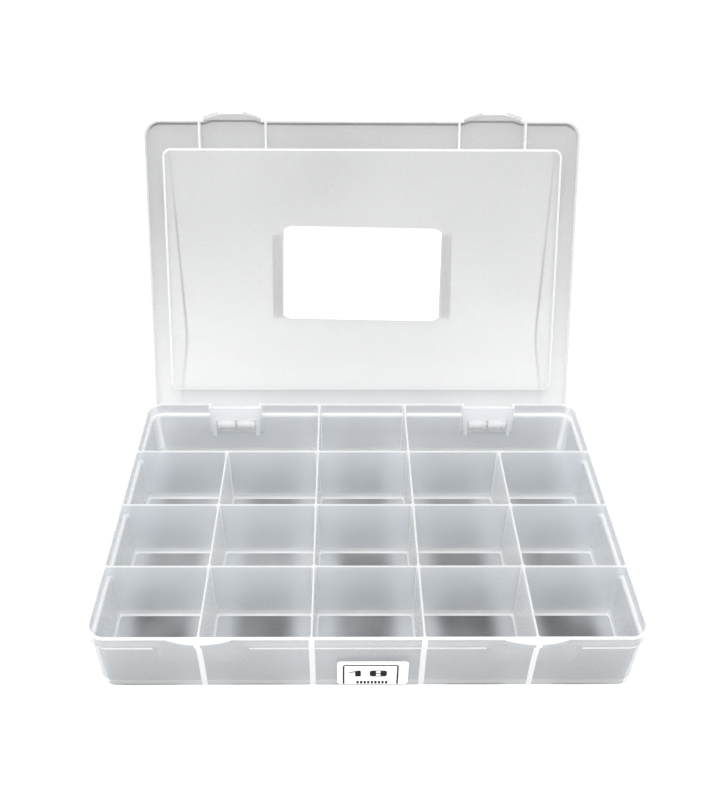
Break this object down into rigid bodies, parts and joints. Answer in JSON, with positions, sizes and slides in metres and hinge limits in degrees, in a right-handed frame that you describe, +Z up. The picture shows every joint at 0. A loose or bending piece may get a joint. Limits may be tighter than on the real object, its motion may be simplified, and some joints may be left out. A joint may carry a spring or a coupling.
{
  "type": "parts organizer box",
  "caption": "Shallow translucent compartment box for small parts: fixed dividers, a framed lid on two rod hinges, and two snap latches that hook over catches on the front rim.",
  "frame": {"origin": "centre of the tray's flat underside", "axes": "+Z up out of the open tray, -Y towards the latch side (front), +X to the right seen from the front"},
  "size_m": [0.27, 0.2932, 0.1932],
  "materials": {
    "tray_plastic": "translucent natural polypropylene, satin inside, glossy rims",
    "lid_plastic": "translucent natural polypropylene, smooth",
    "printed_sticker": "satin white sticker with a black printed frame",
    "white_card": "matte blank white card"
  },
  "bodies": {
    "tray": {"tray_floor": "tray_plastic", "front_wall": "tray_plastic", "rear_wall": "tray_plastic", "left_wall": "tray_plastic", "right_wall": "tray_plastic", "corner_front_left": "tray_plastic", "corner_front_right": "tray_plastic", "corner_rear_left": "tray_plastic", "corner_rear_right": "tray_plastic", "row_divider_front": "tray_plastic", "row_divider_middle": "tray_plastic", "row_divider_rear": "tray_plastic", "column_divider_outer_left": "tray_plastic", "column_divider_inner_left": "tray_plastic", "column_divider_inner_right": "tray_plastic", "column_divider_outer_right": "tray_plastic", "catch_left": "tray_plastic", "catch_right": "tray_plastic", "catch_pad_left": "tray_plastic", "catch_pad_right": "tray_plastic", "hinge_pocket_left": "tray_plastic", "hinge_pocket_right": "tray_plastic", "hinge_rod_left": "tray_plastic", "hinge_rod_right": "tray_plastic", "front_sticker": "printed_sticker"},
    "lid": {"lid_panel": "lid_plastic", "lid_riser": "lid_plastic", "lid_border_front": "lid_plastic", "lid_border_rear": "lid_plastic", "lid_border_left": "lid_plastic", "lid_border_right": "lid_plastic", "lid_skirt_front": "lid_plastic", "lid_skirt_rear": "lid_plastic", "lid_skirt_left": "lid_plastic", "lid_skirt_right": "lid_plastic", "latch_ribs_left": "lid_plastic", "latch_ribs_right": "lid_plastic", "hinge_arms_left": "lid_plastic", "hinge_arms_right": "lid_plastic", "lid_card": "white_card"},
    "latch_left": {"latch_left": "lid_plastic"},
    "latch_right": {"latch_right": "lid_plastic"}
  },
  "joints": [
    {"name": "lid_hinge", "type": "hinge", "parent": "tray", "child": "lid", "pos_m": [0, 0.092, 0.024], "axis": [1, 0, 0], "range_deg": [0, 116]},
    {"name": "latch_left_flex", "type": "hinge", "parent": "lid", "child": "latch_left", "pos_m": [-0.08, 0.19419, 0.18744], "axis": [-1, 0, 0], "range_deg": [0, 8], "stiffness_Nm_per_rad": 0.6},
    {"name": "latch_right_flex", "type": "hinge", "parent": "lid", "child": "latch_right", "pos_m": [0.08, 0.19419, 0.18744], "axis": [-1, 0, 0], "range_deg": [0, 8], "stiffness_Nm_per_rad": 0.6}
  ]
}
